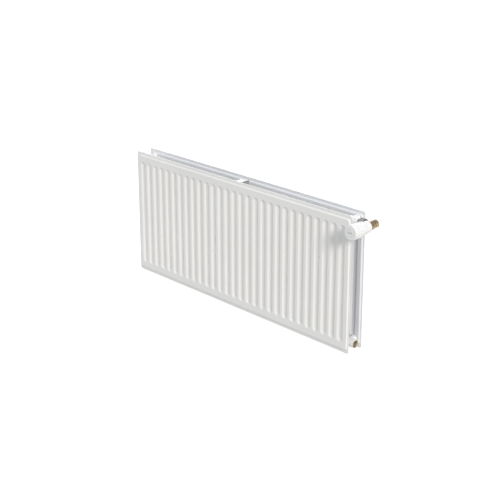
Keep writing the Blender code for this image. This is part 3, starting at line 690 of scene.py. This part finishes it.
def threaded_bore(line, face, depth, helical):
    """The inside of a port, as a tool to cut with: a countersink, the thread and a drill point."""
    row_length = THREAD_PITCH / 8
    count = round(depth / row_length)
    rows = [(face - 0.0006 - index * row_length, PORT_RADIUS) for index in range(count + 1)]
    mouth = [(face + 0.002, 0), (face + 0.002, PORT_RADIUS + 0.0009), (face + 0.0001, PORT_RADIUS + 0.0009)]
    end = rows[-1][0]
    point = [(end - 0.0008, PORT_RADIUS - 0.0016), (end - 0.0008, 0)]

    def shape(height, turn, radius):
        if abs(radius - PORT_RADIUS) > MERGE or not helical:
            return radius
        fade = smooth((face - 0.0004 - height) / 0.0012)
        return radius - THREAD_DEPTH * ridge(height - face, turn, THREAD_PITCH) * fade

    made = turned(line, mouth + rows + point, segments=64, ring=False, shape=shape)
    for face_of_tool in made.polygons:
        face_of_tool.material_index = 1
    return made


def add_tee(node, side, height, helical):
    """The port on a cross tube, welded between the two panels; a helical one shows its thread."""
    cross_x = side * (HALF_LENGTH - WATERWAY_INSET)
    centre = Vector((cross_x, MIDDLE_Y, height))
    line = to_right(centre) if side > 0 else to_left(centre)
    across = to_front(centre)
    reach = TEE_FACE - abs(cross_x)
    cross_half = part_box(node)[1].y - MIDDLE_Y
    port = rounded([
        (reach, 0), (reach, TEE_RADIUS, 0.0009), (-0.006, TEE_RADIUS, 0.004), (-0.012, 0.0084, 0.003),
        (-0.012, 0),
    ], 0.001, False, 5)
    cross = rounded([
        (-cross_half, 0), (-cross_half, CROSS_RADIUS), (cross_half, CROSS_RADIUS), (cross_half, 0),
    ], 0.0002, False, 2)
    tools = [("UNION", turned(across, cross, ring=False))]
    run = Vector((1, 0, 0))
    for way in (-1, 1):
        branch = Vector((0, way, 0))
        fillet = saddle_ring(centre, run, branch, TEE_RADIUS, CROSS_RADIUS, 0.0026)
        end_line = across if way < 0 else Line(centre, (0, 1, 0), (1, 0, 0))
        bead = weld_ring(end_line, cross_half, CROSS_RADIUS, 0.0024, side + height * 9)
        tools += [("UNION", fillet), ("UNION", bead)]
    tools.append(("DIFFERENCE", threaded_bore(line, reach, PORT_DEPTH, helical)))
    past = cross_half + 0.002
    through = [(-past, 0), (-past, WATERWAY_RADIUS), (past, WATERWAY_RADIUS), (past, 0)]
    tools.append(("DIFFERENCE", turned(across, through, segments=32, ring=False)))
    mesh = combined(node + "_fine", turned(line, port, ring=False), tools)
    for face in mesh.polygons if helical else ():
        out = (face.center - centre).dot(line.direction)
        if face.normal.dot(line.direction) > 0.999 and out > reach - MERGE:
            face.material_index = 1
    stand_in(node, mesh, ["frame", "thread"])


def swept_strip(name, outline, low, high, placed, rounding):
    """A closed outline drawn out from low to high, its rim rounded; placed maps it to the frame."""
    rows = [(low + rounding * (1 - sin(turn)), rounding * (1 - cos(turn)))
            for turn in spaced(0, pi / 2, 3)]
    rows += [(low + high - level, inset) for level, inset in reversed(rows)]
    count = len(outline)
    flat = [Vector(point) for point in outline]
    area = sum(a.x * b.y - b.x * a.y for a, b in zip(flat, flat[1:] + flat[:1]))
    way = 1 if area > 0 else -1
    points = []
    for level, inset in rows:
        for index, here in enumerate(flat):
            tangent = (flat[(index + 1) % count] - flat[index - 1]).normalized()
            point = here + Vector((-tangent.y, tangent.x)) * way * inset
            points.append(placed(point.x, point.y, level))
    faces = belts(len(rows), count)
    loop = [Vector((point.x, point.y, 0)) for point in flat]
    for row in (0, len(rows) - 1):
        for corners in geometry.tessellate_polygon([loop]):
            faces.append(tuple(row * count + corner for corner in corners))
    return mesh_of(name, points, faces)


def add_strap(node, legs_down):
    """The strip that spaces the panels, bent to a channel with its legs down or up."""
    low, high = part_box(node)
    half, thick = (high.y - low.y) / 2, 0.002
    way = -1 if legs_down else 1
    level = high.z if legs_down else low.z
    leg = high.z - low.z
    outline = [(-half, 0, 0.0042), (half, 0, 0.0042), (half, leg, 0.0006), (half - thick, leg, 0.0006),
               (half - thick, thick, 0.0022), (thick - half, thick, 0.0022), (thick - half, leg, 0.0006),
               (-half, leg, 0.0006)]

    def placed(across, drop, along):
        return Vector((along, MIDDLE_Y + across, level + way * drop))

    mesh = swept_strip(node + "_fine", rounded(outline, 0.001, True, 5), low.x, high.x, placed, 0.0005)
    # The strap takes the darker enamel, with the shade between the panels painted into its colour.
    stand_in(node, mesh, ["strap"])


def add_lug(node):
    """The wall lug: a bent strip over one groove, spot-welded on two crests of the rear sheet."""
    low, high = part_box(node)
    middle = (low + high) / 2
    half, depth, plate = (high.x - low.x) / 2, high.y - low.y, 0.003
    foot = 0.010
    step = half - foot
    inner = step - plate
    outline = [
        (-half, -depth, 0.0005), (-step + plate, -depth, 0.0030), (-inner + plate, -plate, 0.0018),
        (inner - plate, -plate, 0.0018), (step - plate, -depth, 0.0030), (half, -depth, 0.0005),
        (half, plate - depth, 0.0005), (step, plate - depth, 0.0020), (inner, 0, 0.0030),
        (-inner, 0, 0.0030), (-step, plate - depth, 0.0020), (-half, plate - depth, 0.0005),
    ]

    def placed(across, back, along):
        return Vector((middle.x + across, high.y + back, along))

    mesh = swept_strip(node + "_fine", rounded(outline, 0.001, True, 5), low.z, high.z, placed, 0.0005)
    dents = []
    for way in (-1, 1):
        for level in (-0.008, 0.008):
            spot = Vector((middle.x + way * (half - foot * 0.45), low.y + plate, middle.z + level))
            dent = Line(spot, (0, 1, 0), (1, 0, 0))
            bowl = [(-0.0005, 0), (-0.0004, 0.0014), (0.0001, 0.0026), (0.001, 0.0032), (0.001, 0)]
            dents.append(("DIFFERENCE", turned(dent, bowl, segments=24, ring=False)))
    stand_in(node, combined(node + "_fine", mesh, dents), ["lug"])


# ---- fittings at the left end
def add_plug(node, bored):
    """A plug's hexagon, collar and threaded shank; the air vent's is bored through for its screw."""
    low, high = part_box(node)
    line = to_left((-TEE_FACE, MIDDLE_Y, (low.z + high.z) / 2))
    top, inner_end = -TEE_FACE - low.x, -TEE_FACE - high.x
    collar, shank, bore, flats = 0.0021, 0.0099, 0.0033, 0.022
    head = top - 0.0045
    corner = flats / sqrt(3)
    hexagon = hexagonal(flats)

    def shape(height, turn, radius):
        if abs(radius - shank) < MERGE:
            return radius - 0.0008 * ridge(height, turn, THREAD_PITCH)
        return hexagon(height, turn, radius) if height > head + 0.0004 else radius

    profile = [(top, bore + 0.0006 if bored else 0), (top, flats / 2 * 0.92)]
    profile += [(top - 0.0016 + index * 0.0002, corner - index * 0.00022) for index in range(8, -1, -1)]
    profile += [(head + 0.0005 + index * 0.0004, corner) for index in range(5, -1, -1)]
    profile += [
        (head + 0.0002, TEE_RADIUS - 0.0012), (head - 0.0002, TEE_RADIUS - 0.0006),
        (head - 0.0008, TEE_RADIUS - 0.0001), (collar + 0.0005, TEE_RADIUS), (collar, TEE_RADIUS - 0.0004),
    ]
    profile += [(height, shank) for height in spaced(collar - 0.0004, inner_end + 0.001, 60)]
    profile += [(inner_end, shank - 0.001), (inner_end, bore if bored else 0)]
    if bored:
        profile += [(inner_end + 0.0003, bore), (top - 0.0008, bore), (top - 0.0003, bore + 0.0003)]
    add_turned(node, line, profile, "nickel", "nickel_plate", segments=96, ring=bored, shape=shape)


def add_seal(node):
    """The flat rubber ring under a plug's collar."""
    low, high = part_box(node)
    line = to_left((0, MIDDLE_Y, (low.z + high.z) / 2))
    near, far, outer = -high.x, -low.x, (high.z - low.z) / 2
    profile = rounded([(near, PORT_RADIUS), (far, PORT_RADIUS), (far, outer), (near, outer)], 0.0005, True)
    add_turned(node, line, profile, "rubber", "rubber")


def add_bleed_screw():
    """The vent's screw, with a cone point inside and a square end for the key."""
    low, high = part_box("bleed_screw")
    near, far = -high.x, -low.x
    radius, half = 0.0030, 0.0020
    corner = half * 1.32
    square_from = far - 0.0040
    square = flatted(4, half, corner)

    def shape(height, turn, wide):
        return wide if height < square_from else square(height, turn, wide)

    profile = [(far, 0), (far, half), (far - 0.0003, corner), (square_from + 0.0001, corner)]
    profile += rounded([
        (square_from - 0.0001, 0.0022), (square_from - 0.0001, radius), (near + 0.002, radius),
        (near, 0.0006), (near, 0),
    ], 0.0003, False)
    add_turned("bleed_screw", to_left((0, MIDDLE_Y, PORT_TOP)), profile, "brass_x", "brass", "bleed_screw",
               segments=64, ring=False, shape=shape)


# ---- valve
def tail_span(node):
    """A node's near and far heights on the tailpiece's axis, from the port's face."""
    low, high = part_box(node)
    return low.x - TEE_FACE, high.x - TEE_FACE


def head_span(node):
    """A node's back and front heights on the valve's axis, and its outer radius."""
    low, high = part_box(node)
    return MIDDLE_Y - high.y, MIDDLE_Y - low.y, (high.z - low.z) / 2


TAIL_LINE = to_right((TEE_FACE, MIDDLE_Y, PORT_TOP))
HEAD_LINE = to_front(VALVE)


def add_tailpiece():
    low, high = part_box("valve_tailpiece")
    near, far = tail_span("valve_tailpiece")
    bore, neck, thread, lip = 0.0075, 0.0098, 0.0101, (high.z - low.z) / 2
    collar = far - 0.0030
    profile = rounded([
        (near, bore), (near, thread - 0.001), (near + 0.001, thread), (0.0003, thread), (0.0003, 0.0125),
        (0.0035, 0.0125, 0.0008), (0.0050, neck, 0.0012), (collar, neck, 0.0004), (collar, lip), (far, lip),
        (far, bore),
    ], 0.0003, True)
    add_turned("valve_tailpiece", TAIL_LINE, profile, "nickel", "nickel_plate")


def add_union_nut():
    near, far = tail_span("union_nut")
    flats = 0.032
    inner = [(far, 0.0145), (far - 0.0010, 0.0135), (near + 0.0030, 0.0135), (near + 0.0030, 0.0101),
             (near, 0.0101)]
    add_turned("union_nut", TAIL_LINE, nut_profile(near, far, flats, inner), "nickel", "nickel_plate",
               segments=144, shape=hexagonal(flats))


def add_valve_body():
    """The brass body: a threaded barrel with a bore along it, and a neck towards the union nut."""
    back, front, _ = head_span("valve_body")
    spigot, barrel, thread, neck_radius, bore = 0.0103, 0.0145, 0.0148, 0.012, 0.0075
    outer = [(front, 0), (front, thread - 0.0009)]
    outer += [(height, thread) for height in spaced(front - 0.0006, 0.0125, 52)]
    outer += rounded([
        (0.0120, thread - 0.0012), (0.0115, 0.0135, 0.0008), (0.0060, barrel, 0.003),
        (-0.0060, barrel, 0.003), (-0.0115, 0.0130, 0.002), (-0.0136, spigot, 0.0008),
        (back, spigot, 0.0006), (back, 0),
    ], 0.001, False)

    def shape(height, turn, radius):
        return radius if abs(radius - thread) > MERGE else radius - 0.0006 * ridge(height, turn, 0.0015)

    length = VALVE.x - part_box("valve_body")[0].x
    side = to_left(VALVE)
    neck = rounded([
        (length, 0), (length, 0.0132, 0.0005), (length - 0.009, 0.0132, 0.0006),
        (length - 0.009, neck_radius, 0.0006), (0, neck_radius), (0, 0),
    ], 0.0005, False)
    outlet = [(length + 0.002, 0), (length + 0.002, bore), (0, bore), (0, 0)]
    chambers = [
        (front + 0.002, 0), (front + 0.002, 0.0095), (-0.0040, 0.0095), (-0.0040, 0.0065), (-0.0100, 0.0065),
        (-0.0100, 0.0076), (-0.0140, 0.0076), (-0.0152, 0.0089), (back - 0.002, 0.0089), (back - 0.002, 0),
    ]
    branch, run = Vector((-1, 0, 0)), Vector((0, 1, 0))
    mesh = combined("valve_body_fine", turned(HEAD_LINE, outer, ring=False, shape=shape), [
        ("UNION", turned(side, neck, ring=False)),
        ("UNION", saddle_ring(VALVE, run, branch, barrel, neck_radius, 0.0022)),
        ("DIFFERENCE", turned(side, outlet, segments=48, ring=False)),
        ("DIFFERENCE", turned(HEAD_LINE, chambers, segments=64, ring=False)),
    ])
    stand_in("valve_body", mesh, ["brass_y"])


def add_inlet_nut():
    back, front, _ = head_span("inlet_nut")
    flats = 0.024
    inner = [(front, 0.0112), (front - 0.0006, 0.0106), (back + 0.0022, 0.0106), (back + 0.0022, 0.0079),
             (back + 0.0004, 0.0079), (back, 0.0083)]
    add_turned("inlet_nut", HEAD_LINE, nut_profile(back, front, flats, inner), "brass_y", "brass",
               segments=144, shape=hexagonal(flats))


def add_olive():
    back, front, outer = head_span("inlet_olive")
    inner = 0.0076
    profile = rounded([(back, inner), (back, inner + 0.0003), (back + 0.003, outer, 0.002),
                       (front - 0.003, outer, 0.002), (front, inner + 0.0003), (front, inner)], 0.0001, True)
    add_turned("inlet_olive", HEAD_LINE, profile, "brass_y", "brass")


# ---- head
FLUTES = 24
RIBS = 20
SETTINGS = 6
SETTING_TURN = radians(54)
REST_SETTING = 3


def add_ring_nut():
    """The ring nut with flutes for the fingers."""
    back, front, outer = head_span("head_ring_nut")
    inner = 0.0151

    def shape(height, turn, radius):
        if radius < outer - 0.0025:
            return radius
        flute = smooth(0.5 + 1.4 * (cos(FLUTES * turn) - 0.25))
        near = smooth((height - back - 0.0012) / 0.002) * smooth((front - 0.0018 - height) / 0.002)
        return radius - 0.0011 * near * (1 - flute)

    profile = [(back, inner), (back, outer - 0.0014), (back + 0.0003, outer - 0.0004)]
    profile += [(height, outer) for height in spaced(back + 0.0008, front - 0.0008, 20)]
    profile += [(front - 0.0003, outer - 0.0004), (front, outer - 0.0014), (front, 0.0122),
                (front - 0.0027, 0.0122), (front - 0.0027, inner)]
    add_turned("head_ring_nut", HEAD_LINE, profile, "head", "head_plastic", segments=240, shape=shape)


def add_base():
    """The head's fixed base with the pointer that the scale is read against."""
    _, tube_end, outer = head_span("head_base")
    start, end = 0.0278, 0.0345
    guide, guide_bore = 0.0140, 0.0128
    profile = rounded([
        (0.0228, 0.0110), (0.0228, 0.0148), (0.0245, 0.0148), (0.0245, 0.0119), (start, 0.0119),
        (start, outer - 0.0018, 0.0008), (start + 0.0022, outer, 0.0014), (end, outer, 0.0004),
        (end, outer - 0.0016, 0.0004), (0.0305, outer - 0.0016), (0.0305, guide), (tube_end, guide),
        (tube_end, guide_bore), (0.0330, guide_bore), (0.0330, 0.0060), (0.0265, 0.0060), (0.0265, 0.0110),
    ], 0.0003, True)
    add_turned("head_base", HEAD_LINE, profile, "head", "head_plastic", segments=96)

    steps = 6
    points = []
    for index, height in enumerate(spaced(start + 0.0026, end - 0.0006, steps)):
        half_width = radians(6) * (0.25 + 0.75 * (1 - index / steps))
        turns = spaced(pi / 2 - half_width, pi / 2 + half_width, steps)
        points += [HEAD_LINE.at(height, outer - 0.0003, turn) for turn in turns]
        points += [HEAD_LINE.at(height, outer + 0.00025, turn) for turn in reversed(turns)]
    count = 2 * (steps + 1)
    faces = belts(steps + 1, count) + [tuple(range(count)), tuple(range(steps * count, (steps + 1) * count))]
    add_piece("setting_pointer", mesh_of("setting_pointer", points, faces), ["ink"])


GRIP_OUTLINE = (
    (0.0348, 0.0206, 0.0004), (0.0356, 0.0213, 0.0006), (0.0480, 0.0224, 0.0060), (0.0620, 0.0232, 0.0080),
    (0.0780, 0.0241, 0.0060), (0.0888, 0.0246, 0.0022), (0.0914, 0.0222, 0.0030), (0.0915, 0.0180, 0.0020),
)
GRIP_WALL = 0.0020


def grip_radius(height):
    """The grip's outer radius at a height, straight between its outline's points."""
    for (low, wide, _), (high, other, _) in zip(GRIP_OUTLINE, GRIP_OUTLINE[1:]):
        if low <= height <= high:
            return wide + (other - wide) * (height - low) / (high - low)
    return GRIP_OUTLINE[-1][1]


def add_grip():
    """The turning grip: a smooth scale band, finger ribs and a rolled front edge."""
    end = GRIP_OUTLINE[-1][0]
    cap = 0.0123
    rib_low, rib_high = 0.0490, 0.0860

    def shape(height, turn, radius):
        if radius < grip_radius(height) - 0.0010:
            return radius
        hollow = smooth(0.5 - 1.5 * (cos(RIBS * turn) + 0.15))
        band = smooth((height - rib_low) / 0.004) * smooth((rib_high - height) / 0.006)
        return radius - 0.0009 * hollow * band

    outer = rounded(GRIP_OUTLINE, 0.001, False, 5)
    profile = []
    for (low, wide), (high, other) in zip(outer, outer[1:]):
        count = max(1, ceil((high - low) / 0.0015))
        profile += list(zip(spaced(low, high, count), spaced(wide, other, count)))[:-1]
    profile.append(outer[-1])
    profile += rounded([
        (end, cap, 0.0004), (end - GRIP_WALL, cap, 0.0003), (end - GRIP_WALL, 0.0205, 0.002),
        (0.0870, 0.0222, 0.002), (0.0780, 0.0219, 0.003), (0.0620, 0.0210), (0.0480, 0.0202),
        (0.0388, 0.0195), (0.0388, 0.0143), (0.0366, 0.0143), (0.0366, 0.0190), (0.0348, 0.0190),
    ], 0.0004, False)
    add_turned("head_grip", HEAD_LINE, profile, "grip", "grip_plastic", "grip", segments=240, shape=shape)


def add_cap():
    """The front cap with a slightly dished face and a short dark bar that stands proud of it."""
    back, front, flange = head_span("grip_front_cap")
    cap, face_radius = 0.0120, 0.0104
    face = [(front - 0.0003 * (1 - share ** 2), face_radius * share) for share in spaced(0, 1, 10)]
    rim = rounded([
        (front, face_radius), (front, cap - 0.0004, 0.0006), (front - 0.0010, cap, 0.0004),
        (back + 0.0011, cap, 0.0001), (back + 0.0011, flange, 0.0002), (back, flange, 0.0002), (back, 0),
    ], 0.0003, False)
    add_turned("grip_front_cap", HEAD_LINE, face + rim[1:], "cap", "cap_plastic", "grip",
               segments=96, ring=False)

    half, thick = 0.0070, 0.0008
    outline = []
    for way in (1, -1):
        for turn in spaced(-pi / 2, pi / 2, 8):
            outline.append((way * (half - thick + thick * cos(turn)), way * thick * sin(turn)))

    def placed(across, up, along):
        return Vector((VALVE.x + across, MIDDLE_Y - along, VALVE.z + up))

    bar = swept_strip("cap_bar", outline, front - 0.0005, front - 0.00005, placed, 0.00008)
    add_piece("cap_bar", bar, ["ink"], "grip")


def add_scale():
    """The numbers 0 to 5 round the grip, printed proud; the rest setting stands at the top."""
    band, size, print_height = 0.0412, 0.0052, 0.00012
    longest_edge = 0.0008
    for setting in range(SETTINGS):
        text = bpy.data.curves.new(f"scale_{setting}", "FONT")
        text.body = str(setting)
        text.size = size
        text.align_x = "CENTER"
        text.align_y = "CENTER"
        text.extrude = print_height
        text.resolution_u = 6
        holder = linked(f"scale_{setting}_flat", text)
        mesh = evaluated(holder)
        bpy.data.objects.remove(holder, do_unlink=True)
        bm = bmesh.new()
        bm.from_mesh(mesh)
        bmesh.ops.remove_doubles(bm, verts=bm.verts[:], dist=MERGE)
        long = [edge for edge in bm.edges if edge.calc_length() > longest_edge]
        bmesh.ops.subdivide_edges(bm, edges=long, cuts=1)
        middle = pi / 2 - (setting - REST_SETTING) * SETTING_TURN
        for point in bm.verts:
            height = band + point.co.y
            wide = grip_radius(height) + 0.00002 + point.co.z
            point.co = HEAD_LINE.at(height, wide, middle - point.co.x / wide)
        bm.to_mesh(mesh)
        bm.free()
        add_piece(f"scale_{setting}", mesh, ["ink"], "grip")


# ---- springs, and pieces kept from the CAD
def add_spring(node, wire, turns, body):
    """A coil spring along Y with a closed coil at each end; wire is its radius."""
    low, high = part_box(node)
    middle = (low + high) / 2
    reach = (high.x - low.x) / 2 - wire
    steps_a_turn, corners, closed = 32, 10, 0.75
    steps = turns * steps_a_turn
    points = []
    for index in range(steps + 1):
        turn = tau * index / steps_a_turn
        share = (index / steps_a_turn - closed) / (turns - 2 * closed)
        y = low.y + wire + min(1, max(0, share)) * (high.y - low.y - 2 * wire)
        for corner in range(corners):
            angle = tau * corner / corners
            out = reach + wire * cos(angle)
            points.append((middle.x + out * cos(turn), y + wire * sin(angle),
                           middle.z + out * sin(turn)))
    faces = belts(steps + 1, corners)
    faces += [tuple(range(corners)), tuple(range(steps * corners, (steps + 1) * corners))]
    return stand_in(node, mesh_of(node + "_fine", points, faces), ["steel"], body)


def add_return_spring():
    """Held by the bonnet at its front end and pressed by the disc carrier at its back end."""
    spring = add_spring("return_spring", 0.0004, 5, None)
    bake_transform(spring)


def finish_cad_nodes():
    """Pieces whose CAD shape is right get their real finish."""
    finishes = {
        "bonnet_insert": "brass_y", "gland_screw": "brass_y", "spindle_seal": "rubber",
        "grip_snap_ring": "steel", "sensor_capsule": "steel", "push_rod": "cap",
        "valve_spindle": "steel", "valve_disc": "rubber",
    }
    for node, look in finishes.items():
        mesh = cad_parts[node].data
        mesh.materials.clear()
        mesh.materials.append(LOOKS[look])


# ---- stage, light and camera
FLOOR_Z = -1.2
FLOOR_RADIUS = 60
FLOOR_GREY = 0.35
FLOOR_GLOW = 0.75


def grey(value):
    return (value, value, value)


def add_stage():
    """A wide pale floor well below the radiator, which hangs on a wall."""
    bm = bmesh.new()
    bmesh.ops.create_circle(bm, cap_ends=True, segments=96, radius=FLOOR_RADIUS)
    mesh = bpy.data.meshes.new("floor")
    bm.to_mesh(mesh)
    bm.free()
    floor = linked("floor", mesh)
    floor.location = (0, 0, FLOOR_Z)
    surface = Surface("pale_floor", grey(FLOOR_GREY), 0.9, Specular_IOR_Level=0.1,
                      Emission_Color=(1, 1, 1, 1), Emission_Strength=FLOOR_GLOW)
    surface.paint(surface.mixed(surface.noise(0.7), grey(FLOOR_GREY - 0.01), grey(FLOOR_GREY + 0.01)))
    mesh.materials.append(surface.made)
    floor.visible_diffuse = False
    floor.visible_shadow = False


def add_sun(name, direction, strength, spread, colour):
    """A far softbox: light that travels along `direction` and comes from a disc `spread` degrees wide."""
    data = bpy.data.lights.new(name, "SUN")
    data.energy = strength * pi
    data.angle = radians(spread)
    data.color = colour
    lamp = linked(name, data)
    lamp.rotation_euler = Vector(direction).to_track_quat("-Z", "Y").to_euler()


OVERHEAD = (0.925, 0.970, 1.050)
BELOW = (1.020, 1.0, 0.965)
SKY_RISE = 0.29  # share by which the light from straight overhead exceeds the mean
SKY_STRENGTH = 0.60


def add_light():
    """A pale room, cooler and brighter overhead, a soft lamp high on the right, a weak one behind."""
    world = bpy.data.worlds.new("studio")
    world.use_nodes = True
    tree = world.node_tree
    direction = shader_node(tree, "TexCoord").outputs["Generated"]
    up = shader_node(tree, "SeparateXYZ", Vector=direction).outputs["Z"]
    height = shader_node(tree, "MapRange", Value=up, From_Min=-1).outputs["Result"]
    sky = colour_mix(tree, height, tinted(BELOW, 1 - SKY_RISE), tinted(OVERHEAD, 1 + SKY_RISE))
    background = tree.nodes["Background"]
    feed(tree, background.inputs["Color"], sky)
    feed(tree, background.inputs["Strength"], SKY_STRENGTH)
    bpy.context.scene.world = world
    add_sun("key_softbox", (-0.80, 0.36, -0.49), 0.68, 14, (1, 0.966, 0.910))
    add_sun("rear_softbox", (0.62, -0.62, -0.48), 0.24, 40, (0.97, 0.985, 1))
    bpy.context.scene.view_settings.view_transform = "Standard"


def add_camera():
    """A long lens from high on the right front, as in the photograph."""
    data = bpy.data.cameras.new("camera")
    data.lens = 78.1
    data.sensor_width = 36
    data.shift_y = -0.15
    data.clip_end = 200
    camera = linked("camera", data)
    camera.location = (2.438, -2.427, 1.126)
    camera.rotation_euler = (radians(72.82), 0, radians(45.21))
    bpy.context.scene.camera = camera


# ---- the whole
add_camera()
add_stage()
add_light()

for panel, panel_plane in (("front", FRONT_PLANE), ("rear", REAR_PLANE)):
    for sheet, outward_way in (("front", -1), ("back", 1)):
        add_sheet(f"{panel}_panel_{sheet}_sheet", panel_plane, outward_way)

add_tee("top_left_tee", -1, PORT_TOP, False)
add_tee("bottom_left_tee", -1, PORT_BOTTOM, False)
add_tee("top_right_tee", 1, PORT_TOP, False)
add_tee("bottom_right_tee", 1, PORT_BOTTOM, True)
add_strap("top_spacer_strap", True)
add_strap("bottom_spacer_strap", False)
for lug_place in ("upper_left", "upper_right", "lower_left", "lower_right"):
    add_lug(lug_place + "_wall_lug")

add_plug("air_vent_plug", True)
add_plug("blanking_plug", False)
add_seal("air_vent_seal")
add_seal("blanking_plug_seal")
add_bleed_screw()

add_tailpiece()
add_union_nut()
add_valve_body()
add_inlet_nut()
add_olive()
add_ring_nut()
add_base()
add_grip()
add_cap()
add_scale()
add_return_spring()
add_spring("overtravel_spring", 0.0006, 3, "sensor")
finish_cad_nodes()
